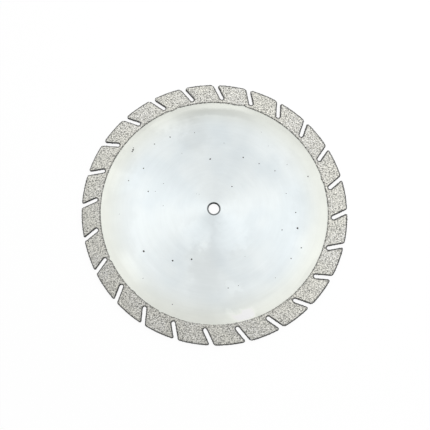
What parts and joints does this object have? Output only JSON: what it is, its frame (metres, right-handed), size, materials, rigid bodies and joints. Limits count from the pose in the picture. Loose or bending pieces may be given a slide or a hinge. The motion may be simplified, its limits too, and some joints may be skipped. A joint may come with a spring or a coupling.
{
  "type": "diamond cutting disc",
  "caption": "Thin round steel disc with a small centre bore and leaning slots in its rim, which is coated with diamond grit.",
  "frame": {"origin": "centre of the bore, half-way through the disc's thickness", "axes": "+Z along the bore, out of the front face; seen from +Z the slots lean counter-clockwise on their way out"},
  "size_m": [0.045, 0.045, 0.0006],
  "materials": {
    "lapped_steel": "lapped bright, fine rings about the bore",
    "diamond_coat": "rough diamond grit in satin nickel"
  },
  "bodies": {
    "root": {"steel_core": "lapped_steel", "diamond_rim": "diamond_coat"}
  },
  "joints": []
}
